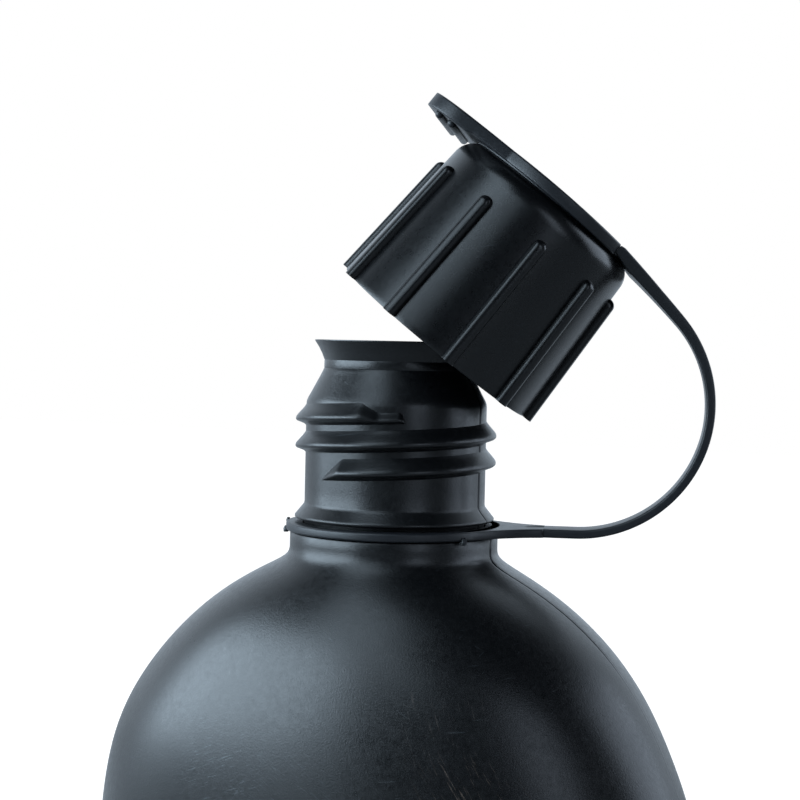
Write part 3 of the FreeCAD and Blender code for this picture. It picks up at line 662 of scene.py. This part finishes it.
# %% [markdown]
# A modifier's inputs are set by each socket's identifier. The result is turned into a plain
# mesh, put in place in metres, and only then handed to the frame.

# %% Running a tree
def grown(name, base, tree, values, matrix, material):
    """The mesh that a tree grows from a base mesh, as a new piece in the row frame."""
    holder = bpy.data.objects.new(name + "_base", base)
    bpy.context.collection.objects.link(holder)
    modifier = holder.modifiers.new("tree", "NODES")
    modifier.node_group = tree
    for item in tree.interface.items_tree:
        if item.in_out == "INPUT" and item.name in values:
            modifier[item.identifier] = values[item.name]
    graph = bpy.context.evaluated_depsgraph_get()
    mesh = bpy.data.meshes.new_from_object(holder.evaluated_get(graph))
    points = [tuple(v.co) for v in mesh.vertices]
    faces = [tuple(p.vertices) for p in mesh.polygons]
    bpy.data.objects.remove(holder)
    return make_piece(name, (points, faces), matrix, material)

def profile_loop(name, corners):
    """A closed loop of edges in the XY plane, the profile of a swept ridge."""
    mesh = bpy.data.meshes.new(name)
    edges = [(i, (i + 1) % len(corners)) for i in range(len(corners))]
    mesh.from_pydata([(x, y, 0) for x, y in corners], edges, [])
    return mesh

PITCH = 5.65
NECK_RADIUS = 19.0
THREAD_PROFILE = (
    (-0.5, 0.0), (0.0, 0.0), (0.35, -0.35), (1.0, -0.6), (1.8, -0.9), (2.05, -1.15), (2.1, -1.5),
    (2.0, -1.85), (1.75, -2.2), (1.1, -2.95), (0.55, -3.55), (0.25, -3.95), (0.0, -4.35), (-0.5, -4.35),
)
neck_thread = grown(
    "neck_thread", profile_loop("neck_thread_profile", THREAD_PROFILE), THREAD_TREE,
    {"Radius": NECK_RADIUS, "Pitch": PITCH, "Turns": 2.16, "Start angle": math.radians(242),
     "Start height": MOUTH - 28.8, "Lead in": 0.05, "Run out": 0.008, "Tail": 0.045, "Tail size": 0.52,
     "Steps": 500},
    BOTTLE_FRAME, HDPE,
)
finished(neck_thread, "bottle", "body_plastic", "canteen_body")

# %% [markdown]
# ## Strap
# One flexible moulding holds the cap to the bottle. At the neck it is a flat ring with a
# flared tongue, then a flat band bends round in a loop, and at the cap it becomes a ring
# again. The frame carries the band on short rigid links, one hinge after another. So the
# band is made in stretches, one across each hinge, from the middle of one link to the middle
# of the next, each drawn along the band's curved route.

# %% Strap path
# the joints are strap_flex, strap_flex_2, strap_flex_3 and so on, from the neck to the cap
FLEX = "strap_flex"
flex_names = sorted(
    (name for name in JOINTS if name.startswith(FLEX)),
    key=lambda name: int(name[len(FLEX) + 1:] or 1),
)
to_strap = STRAP_FRAME.inverted()
hinges = [to_strap @ joint_point(name) for name in flex_names]
ring_low, ring_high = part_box("strap_neck_ring")
RING_BOTTOM, RING_TOP = ring_low[2] / MM, ring_high[2] / MM
RING_MIDDLE = (RING_BOTTOM + RING_TOP) / 2
RING_OUTER = 22.75
THICKNESS = 1.8
BAND_WIDTH = 7.8
TONGUE_LENGTH = 15.4
TIGHT_RADIUS = 27.0
TIGHT_SWEEP = math.radians(130.6)
WIDE_RADIUS = 204.7
TIGHT_LENGTH = TIGHT_RADIUS * TIGHT_SWEEP

def bent(start, heading, radius, length):
    """The point and heading a way along an arc."""
    turned = heading + length / radius
    step = Vector((math.sin(turned) - math.sin(heading), 0, math.cos(heading) - math.cos(turned)))
    return start + step * radius, turned

def route(distance):
    """Point and direction of the band's middle at a distance from where its bend begins.

    It leaves the ring level, turns through a tight arc and goes on in a wide one.
    """
    begin = Vector((RING_OUTER + TONGUE_LENGTH, 0, RING_MIDDLE))
    if distance < 0:
        return begin + Vector((distance, 0, 0)), Vector((1, 0, 0))
    place, heading = bent(begin, 0.0, TIGHT_RADIUS, min(distance, TIGHT_LENGTH))
    if distance > TIGHT_LENGTH:
        place, heading = bent(place, heading, WIDE_RADIUS, distance - TIGHT_LENGTH)
    return place, Vector((math.cos(heading), 0, math.sin(heading)))

ROUTE_STEP = 0.25
LAST_STRETCH = 2.5
HINGE_X = 17.0
ROOT_GAP = 0.12
route_marks = [i * ROUTE_STEP for i in range(-40, 480)]
hinge_marks = [min(route_marks, key=lambda d: (route(d)[0] - hinge).length) for hinge in hinges]
gap = (hinge_marks[-1] - hinge_marks[0]) / (len(hinges) - 1)
stretch_marks = [hinge_marks[0] - gap / 2]
stretch_marks += [(a + b) / 2 for a, b in zip(hinge_marks, hinge_marks[1:])]
stretch_marks.append(hinge_marks[-1] + LAST_STRETCH)
to_cap = CAP_FRAME.inverted() @ STRAP_FRAME
ROOT_MARK = min(route_marks, key=lambda d: abs((to_cap @ route(d)[0]).x - HINGE_X - ROOT_GAP))
print("band bends over", len(hinges), "hinges, at", [round(d, 1) for d in hinge_marks], "mm")

# %% [markdown]
# The band's section is flat with rounded edges. Towards the cap it grows thicker on its inner
# side and then wider, which moves the bending away from the cap and keeps it from tearing.

# %% Strap band
def band_section(half_width, half_height, corner=0.45, steps=4):
    """A flat band's section with rounded edges, as (across, up) pairs."""
    section = []
    for quarter, (sx, sy) in enumerate(((1, 1), (-1, 1), (-1, -1), (1, -1))):
        for i in range(steps + 1):
            angle = math.pi / 2 * (quarter + i / steps)
            section.append((
                sx * (half_width - corner) + corner * math.cos(angle),
                sy * (half_height - corner) + corner * math.sin(angle),
            ))
    return section

THICKER = 0.9
THICKENS_OVER = 45
THICKENS_POWER = 1.3
CAP_CLEARANCE = 5
WIDER = 7.9
WIDENS_OVER = 30
STEP_UP = 0.25
STEP_OVER = 12
HINGE_GROOVE = 0.9
BAND_STEPS = 24

def band_rings(first, last, steps):
    """Rings of the band's section along a stretch of its route.

    Towards the cap the band grows thicker on its inner face and wider.
    """
    rings = []
    for step in range(steps + 1):
        distance = first + (last - first) * step / steps
        point, along = route(distance)
        up = Vector((-along.z, 0, along.x))
        to_go = ROOT_MARK - distance
        extra = THICKER * max(0.0, 1 - to_go / THICKENS_OVER) ** THICKENS_POWER
        extra *= min(1.0, to_go / CAP_CLEARANCE)
        outer = STEP_UP * max(0.0, 1 - to_go / STEP_OVER) * min(1.0, to_go / HINGE_GROOVE)
        half = BAND_WIDTH / 2 + WIDER * max(0.0, 1 - to_go / WIDENS_OVER) ** 2
        rings.append([
            point + Vector((0, across, 0)) + up * (rise + (extra - outer) / 2)
            for across, rise in band_section(half, (THICKNESS + extra + outer) / 2)
        ])
    return rings

def capped(rings):
    """A skin closed by flat ends."""
    points, faces = skin(rings)
    size = len(rings[0])
    faces.append(tuple(range(size)))
    faces.append(tuple(range(len(points) - size, len(points))))
    return points, faces

for number in range(len(hinges)):
    first, last = stretch_marks[number], stretch_marks[number + 1]
    stretch = capped(band_rings(first, last, BAND_STEPS))
    band = make_piece(f"strap_band_{number + 1}", stretch, STRAP_FRAME, STRAP_PE)
    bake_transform(band)
    if number < len(hinges) - 1:
        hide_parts(f"strap_link_{number + 1}")

# %% [markdown]
# The neck ring is a flat washer with rounded edges. Its tongue spreads like a fan until it
# meets the ring along a tangent, and carries a small round dimple where the mould's ejector
# pin pushed it out. Three small lumps of flash stand on the ring's edge where the two halves
# of its mould leaked a little; real mouldings carry such lumps, and they catch the light.

# %% Neck ring and tongue
RING_INNER = 19.35
ring_profile = [
    ((RING_INNER + RING_OUTER) / 2 + across, RING_MIDDLE + up)
    for across, up in band_section((RING_OUTER - RING_INNER) / 2, THICKNESS / 2)
]
neck_ring = make_piece("neck_ring", skin(lathe(ring_profile), loop=True), STRAP_FRAME, STRAP_PE)
finished(neck_ring, "neck_ring", "strap_plastic", "strap_neck_ring")

FLASH = ((196, 0.9, 0.9), (206, -1.2, 1.1), (-28, -1.25, 1.3))  # bearing, rise, size
NUB_STATIONS = ((0.9, -0.5), (1.0, 0.0), (0.6, 0.5))  # swell and height
NUB_SIDES = 8
NUB_RISE = 0.7

def nub(bearing, rise, size):
    """A lump of flash on the ring's edge, as rings of points from its foot to its tip."""
    angle = math.radians(bearing)
    middle = Vector((RING_OUTER * math.cos(angle), RING_OUTER * math.sin(angle),
                     RING_MIDDLE + rise * NUB_RISE))
    rings = []
    for swell, up in NUB_STATIONS:
        turns = [math.tau * i / NUB_SIDES for i in range(NUB_SIDES)]
        rings.append([middle + size * Vector((
            0.6 * swell * math.cos(turn), 0.45 * swell * math.sin(turn), up + 0.15 * math.sin(3 * turn),
        )) for turn in turns])
    return rings

points, faces = [], []
for spot in FLASH:
    start = len(points)
    nub_points, nub_faces = capped(nub(*spot))
    points += nub_points
    faces += [tuple(start + i for i in face) for face in nub_faces]
flash = make_piece("ring_flash", (points, faces), BOTTLE_FRAME, STRAP_PE)
finished(flash, "neck_ring", "strap_plastic")

TONGUE_END = route(stretch_marks[0])[0].x
TANGENT = math.radians(40)
FAN_START = Vector((RING_OUTER * math.cos(TANGENT), RING_OUTER * math.sin(TANGENT)))
FAN_END = 34.5
FAN_INNER = 20.6
DIMPLE_AT = 30.5
DIMPLE_RADIUS = 3.0
DIMPLE_DEPTH = 0.22
TONGUE_EDGE = 0.45
FAN_POWER = 1.9

def tongue_outline(side_steps=50, end_steps=40):
    """Points round the tongue's edge, and how much each edge is rounded.

    Each side leaves the ring along its tangent and sweeps in to the band's width.
    """
    side = []
    for step in range(side_steps):
        x = FAN_START.x + (TONGUE_END - FAN_START.x) * step / side_steps
        left = max(0.0, (FAN_END - x) / (FAN_END - FAN_START.x))
        half = BAND_WIDTH / 2 + (FAN_START.y - BAND_WIDTH / 2) * left ** FAN_POWER
        side.append((x, half, TONGUE_EDGE))
    end = [(TONGUE_END, BAND_WIDTH * (0.5 - i / end_steps), 0.0) for i in range(end_steps + 1)]
    return side + end + [(x, -y, edge) for x, y, edge in reversed(side)]

def tongue_rings(lanes=34):
    """Strips from inside the ring out to each point of the tongue's edge, under and over."""
    rings = []
    half = THICKNESS / 2
    for x, y, edge in tongue_outline():
        reach = math.hypot(x, y)
        ring = [(FAN_INNER / reach * x, FAN_INNER / reach * y, RING_MIDDLE - half)]
        for lane in range(lanes + 1):
            r = FAN_INNER + (reach - edge - FAN_INNER) * lane / lanes
            px, py = r / reach * x, r / reach * y
            away = math.hypot(px - DIMPLE_AT, py)
            depth = DIMPLE_DEPTH * min(1.0, max(0.0, (DIMPLE_RADIUS - away) / 0.35))
            ring.append((px, py, RING_MIDDLE + half - depth))
        for i in range(9):
            angle = math.pi / 2 * (1 - i / 4)
            r = reach - edge + edge * math.cos(angle)
            z = math.copysign(half - edge, math.sin(angle)) if i != 4 else 0.0
            ring.append((r / reach * x, r / reach * y, RING_MIDDLE + z + edge * math.sin(angle)))
        rings.append(ring)
    return rings

tongue = make_piece("strap_tongue", capped(tongue_rings()), STRAP_FRAME, STRAP_PE)
finished(tongue, "neck_ring", "strap_plastic")

# %% [markdown]
# ## Cap
# The cap is a deep cup with a slightly tapered side, a well rounded top edge and ten long
# ribs for the fingers. The cup is a turned profile. The ribs repeat about the axis, so one
# rib is drawn and a Geometry Nodes tree sets the others round the cap.

# %% Cap cup
CAP_RIM = 24.3
CAP_TOP = 21.9
CAP_HEIGHT = 38.4
CAP_EDGE = 5.0
CAP_BORE = 21.55
CAP_WALL = 2.0
CAP_LIP = 0.5
THREAD_TOP = 18.0
WALL_FOOT = 20.0
DECK_UNDER = 34.5
BOSS_RADIUS = 12.4
BOSS_TOP = 39.5
PORT_RADIUS = 8.02

def cap_side(height):
    """Radius of the cap's outside at a height above its rim."""
    return CAP_RIM + (CAP_TOP - CAP_RIM) * height / CAP_HEIGHT

cap_profile = [(CAP_RIM - 0.25, CAP_LIP), (CAP_RIM - 0.07, CAP_LIP + 0.08), (CAP_RIM, CAP_LIP + 0.3)]
cap_profile += [(cap_side(z), z) for z in range(2, 34, 4)]
edge_radius, edge_height = cap_side(CAP_HEIGHT - CAP_EDGE) - CAP_EDGE, CAP_HEIGHT - CAP_EDGE
for i in range(13):
    angle = math.pi / 2 * i / 12
    cap_profile.append((
        edge_radius + CAP_EDGE * math.cos(angle), edge_height + CAP_EDGE * math.sin(angle),
    ))
inside_radius = CAP_TOP - CAP_WALL
cap_profile += [
    (BOSS_RADIUS + 0.2, CAP_HEIGHT), (BOSS_RADIUS, CAP_HEIGHT + 0.2), (BOSS_RADIUS, BOSS_TOP),
    (PORT_RADIUS, BOSS_TOP), (PORT_RADIUS, DECK_UNDER), (inside_radius - 1, DECK_UNDER),
    (inside_radius, DECK_UNDER - 0.8), (inside_radius, WALL_FOOT), (CAP_BORE, THREAD_TOP),
    (CAP_BORE, CAP_LIP + 0.5), (CAP_BORE + 0.2, CAP_LIP + 0.1), (CAP_BORE + 0.45, CAP_LIP),
]
cap_cup = make_piece("cap_cup", skin(lathe(cap_profile, 240), loop=True), CAP_FRAME, CAP_PP)
finished(cap_cup, "cap", "cap_plastic", "cap_shell")

# %% [markdown]
# A rib is a round-topped bar that lies on the cap's tapered side and fades out at its upper
# end. It starts at the rim, because the mould has to pull off along the cap's axis.

# %% Ribs
RIB_COUNT = 10
RIB_LENGTH = 30.6
RIB_WIDTH = 2.9
RIB_PROUD = 1.65
RIB_ROOT = 0.8
RIB_SQUARE = 0.75
RIB_START = math.radians(-4)

def rib_mesh(steps=40, around=14):
    """One rib on the side at angle zero: a round-topped bar with a rounded upper end."""
    rings = []
    for step in range(steps + 1):
        share = step / steps
        z = CAP_LIP + (RIB_LENGTH - CAP_LIP) * (1 - (1 - share) ** 1.6)
        left = min(1.0, (RIB_LENGTH - z) / (RIB_WIDTH / 2))
        swell = math.sqrt(max(0.0, 1 - (1 - left) ** 2))
        ring = [(cap_side(z) - RIB_ROOT, -RIB_WIDTH / 2 * swell, z)]
        for i in range(around + 1):
            angle = math.pi * i / around
            across = -math.copysign(abs(math.cos(angle)) ** RIB_SQUARE, math.cos(angle))
            up = abs(math.sin(angle)) ** RIB_SQUARE
            ring.append((cap_side(z) + RIB_PROUD * up * swell, RIB_WIDTH / 2 * across * swell, z))
        ring.append((cap_side(z) - RIB_ROOT, RIB_WIDTH / 2 * swell, z))
        rings.append(ring)
    points, faces = capped(rings)
    mesh = bpy.data.meshes.new("rib")
    mesh.from_pydata(points, [], faces)
    return mesh

def around_tree():
    """Sets copies of the given mesh round the Z axis."""
    tree = bpy.data.node_groups.new("Ribs round a cap", "GeometryNodeTree")
    given = sockets(tree, {"Geometry": ("Rib",), "Int": ("Count",), "Float": ("Start angle",)})
    spots = add_node(tree, "GeometryNodePoints", {"Count": given["Count"]})
    index = add_node(tree, "GeometryNodeInputIndex").outputs[0]
    share = maths(tree, "DIVIDE", index, given["Count"])
    angle = maths(tree, "MULTIPLY_ADD", share, math.tau, given["Start angle"])
    spin = add_node(tree, "ShaderNodeCombineXYZ", {"Z": angle})
    copies = add_node(tree, "GeometryNodeInstanceOnPoints", {
        "Points": spots.outputs[0], "Instance": given["Rib"], "Rotation": spin.outputs[0],
    })
    real = add_node(tree, "GeometryNodeRealizeInstances", {"Geometry": copies.outputs[0]})
    add_node(tree, "NodeGroupOutput", {0: real.outputs[0]})
    return tree

ribs = grown(
    "cap_ribs", rib_mesh(), around_tree(),
    {"Count": RIB_COUNT, "Start angle": RIB_START},
    CAP_FRAME, CAP_PP,
)
finished(ribs, "cap", "cap_plastic", "cap_shell")

# %% [markdown]
# The cap's own thread points inwards and has the same pitch, so the tree that made the neck's
# thread makes this one too, from another profile.

# %% Thread inside the cap
CAP_THREAD_PROFILE = ((0.4, -1.25), (0.0, -1.25), (-2.05, -0.4), (-2.1, 0.4), (0.0, 1.25), (0.4, 1.25))
cap_thread = grown(
    "cap_thread", profile_loop("cap_thread_profile", CAP_THREAD_PROFILE), THREAD_TREE,
    {"Radius": CAP_BORE, "Pitch": PITCH, "Turns": 2.0, "Start angle": RIB_START,
     "Start height": 6.0, "Lead in": 0.06, "Run out": 0.06, "Tail": 0.0, "Tail size": 1.0,
     "Steps": 300},
    CAP_FRAME, CAP_PP,
)
finished(cap_thread, "cap", "cap_plastic", "cap_shell")

# %% [markdown]
# ## Plates on the cap
# Two thin plates lie on the cap's deck: the strap's own ring, and over it the cover of the
# drinking port, which runs out into a wide finger tab with two grip bars underneath. The
# cover is thin over the ring and has a thicker rim round it. It is drawn as stations along
# its length, each with a half width, a top and a bottom, so the tab can be thicker still.
# Both plates are soft, so they sag a little away from their highest point.

# %% Plates
RING_LOW = 38.5
RING_HIGH = 39.4
RING_LIP = 37.9
COVER_LOW = 39.5
COVER_HIGH = 40.7
RING_DISC = 19.6
COVER_DISC = 21.0
TAB_REACH = 31.4
TAB_HALF = 18.0
TAB_CORNER = 8.0
TAB_THICK = 3.0
RIM_THICK = 2.5
PLATE_EDGE = 0.45
RIM_OVERLAP = 0.35
CROWN_AT = -9.0
CROWN = 0.62 / (HINGE_X - CROWN_AT) ** 2

def droop(x):
    """How far the soft plate sags at a place, away from the middle of the cap."""
    return -CROWN * (x - CROWN_AT) ** 2

def crowned(stations):
    """A plate from (x, half width, rim bottom, middle half, middle bottom, top) stations."""
    rings = []
    for x, half, low, inner, hollow, top in stations:
        edge = min(PLATE_EDGE, 0.4 * (top - low), 0.9 * half)
        ring = []
        for sx, z, turn in ((1, top, 0), (-1, top, 1), (-1, low, 2)):
            for i in range(4):
                angle = math.pi / 2 * (turn + i / 3)
                centre = z - edge if turn < 2 else z + edge
                ring.append((
                    x, sx * (half - edge) + edge * math.cos(angle), centre + edge * math.sin(angle),
                ))
        ring += [(x, -inner - 0.25, low), (x, -inner, hollow)]
        ring += [(x, inner, hollow), (x, inner + 0.25, low)]
        for i in range(4):
            angle = math.pi / 2 * (3 + i / 3)
            ring.append((x, half - edge + edge * math.cos(angle), low + edge + edge * math.sin(angle)))
        rings.append(ring)
    return capped(rings)

def cover_half_width(x):
    """The cover's half width: a disc that runs out into a tab with round corners."""
    disc = math.sqrt(max(0.0, COVER_DISC ** 2 - x ** 2)) if x > -COVER_DISC else 0.0
    if x > 0:
        return disc
    corner = TAB_REACH - TAB_CORNER
    tab = TAB_HALF
    if x < -corner:
        tab -= TAB_CORNER - math.sqrt(max(0.0, TAB_CORNER ** 2 - (-x - corner) ** 2))
    return max(disc, tab)

def cover_station(x):
    """The cover is thin over the strap's ring, has a thicker rim round it and a thick tab."""
    top = COVER_HIGH + droop(x)
    thin = COVER_LOW + 0.6 * droop(x)
    share = min(1.0, max(0.0, (-x - RING_DISC) / (COVER_DISC - RING_DISC)))
    thick = top - RIM_THICK - (TAB_THICK - RIM_THICK) * share
    half = cover_half_width(x)
    inner = math.sqrt(max(0.0, (RING_DISC + RIM_OVERLAP) ** 2 - x ** 2))
    if inner == 0.0:
        return x, half, thick, 0.3 * half, thick, top
    return x, half, thick, inner, thin, top

CORNER_STEPS = 14
STATION_STEP = 0.4
corner_end = -TAB_REACH + TAB_CORNER
xs = [corner_end - TAB_CORNER * math.cos(math.pi / 2 * i / CORNER_STEPS) for i in range(CORNER_STEPS)]
xs += [corner_end + i * STATION_STEP for i in range(100)]
xs = [x for x in xs if x < HINGE_X] + [HINGE_X]
cover_plate = crowned([cover_station(x) for x in xs])
cover = make_piece("port_cover_plate", cover_plate, CAP_FRAME, STRAP_PE, sharp=50)
finished(cover, "cover", "strap_plastic", "port_cover")

def bar(name, x, z, radius, half):
    """A grip bar across the tab, with round ends."""
    rings = []
    for side in (-1, 1):
        for i in range(1, 7):
            angle = math.pi / 2 * (i / 6 if side < 0 else 1 - (i - 1) / 6)
            r = radius * math.sin(angle)
            y = side * (half + radius * math.cos(angle))
            rings.append([(x + r * math.cos(math.tau * j / 16), y, z + r * math.sin(math.tau * j / 16))
                          for j in range(16)])
    return make_piece(name, capped(rings), CAP_FRAME, STRAP_PE)

GRIP_START = 3.8
GRIP_PITCH = 3.1
GRIP_RADIUS = 0.9
GRIP_HALF = 14.5
GRIP_SINK = -0.3
for number in range(2):
    x = -TAB_REACH + GRIP_START + number * GRIP_PITCH
    under = cover_station(x)[2]
    grip = bar(f"tab_grip_{number + 1}", x, under + GRIP_SINK, GRIP_RADIUS, GRIP_HALF)
    finished(grip, "cover", "strap_plastic")

RING_HOLE = 12.5
PLATE_ROUND = 0.2
RING_STEPS = 192
RING_TOP_PROFILE = (
    # radius, and how far the edge is let down
    (RING_HOLE, PLATE_ROUND), (RING_HOLE + PLATE_ROUND, 0), (RING_DISC - PLATE_ROUND, 0),
    (RING_DISC, PLATE_ROUND),
)
RING_UNDER_PROFILE = (
    (RING_DISC, RING_LIP + 0.15), (RING_DISC - 0.15, RING_LIP), (19.2, RING_LIP + 0.05),
    (17.6, RING_LOW), (RING_HOLE, RING_LOW),
)
ring_rings = []
for i in range(RING_STEPS):
    angle = math.tau * i / RING_STEPS
    across, along = math.cos(angle), math.sin(angle)
    heights = [(r, RING_HIGH + 0.6 * droop(r * across) - down) for r, down in RING_TOP_PROFILE]
    ring_rings.append([(r * across, r * along, z) for r, z in (*heights, *RING_UNDER_PROFILE)])
cap_ring_skin = skin(ring_rings, loop=True)
cap_ring = make_piece("cap_ring_plate", cap_ring_skin, CAP_FRAME, STRAP_PE, sharp=50)
finished(cap_ring, "cap_ring", "strap_plastic", "strap_cap_ring")

# %% [markdown]
# The band meets the cap's ring in a wider root that ends at the cover's hinge line.

# %% Strap root at the cap
root_skin = capped(band_rings(stretch_marks[-1], ROOT_MARK, 30))
root = make_piece("strap_root", root_skin, STRAP_FRAME, STRAP_PE)
finished(root, "cap_ring", "strap_plastic")

# %% [markdown]
# ## Inner pieces
# The valve, the seals and the port insert are exact solids already, so they keep their
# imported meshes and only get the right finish.

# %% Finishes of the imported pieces
INNER = {
    "neck_gasket": RUBBER, "port_o_ring": RUBBER, "poppet_seal": RUBBER, "valve_spring": SPRING,
    "port_insert": CAP_PP, "spring_retainer": CAP_PP, "valve_poppet": CAP_PP,
}
for node, finish in INNER.items():
    for slot in frame["nodes"][node].material_slots:
        slot.material = finish
print("packed pieces with new finishes", sorted(INNER))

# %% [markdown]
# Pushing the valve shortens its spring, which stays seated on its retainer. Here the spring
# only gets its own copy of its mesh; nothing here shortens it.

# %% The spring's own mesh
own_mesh(frame["nodes"]["valve_spring"])
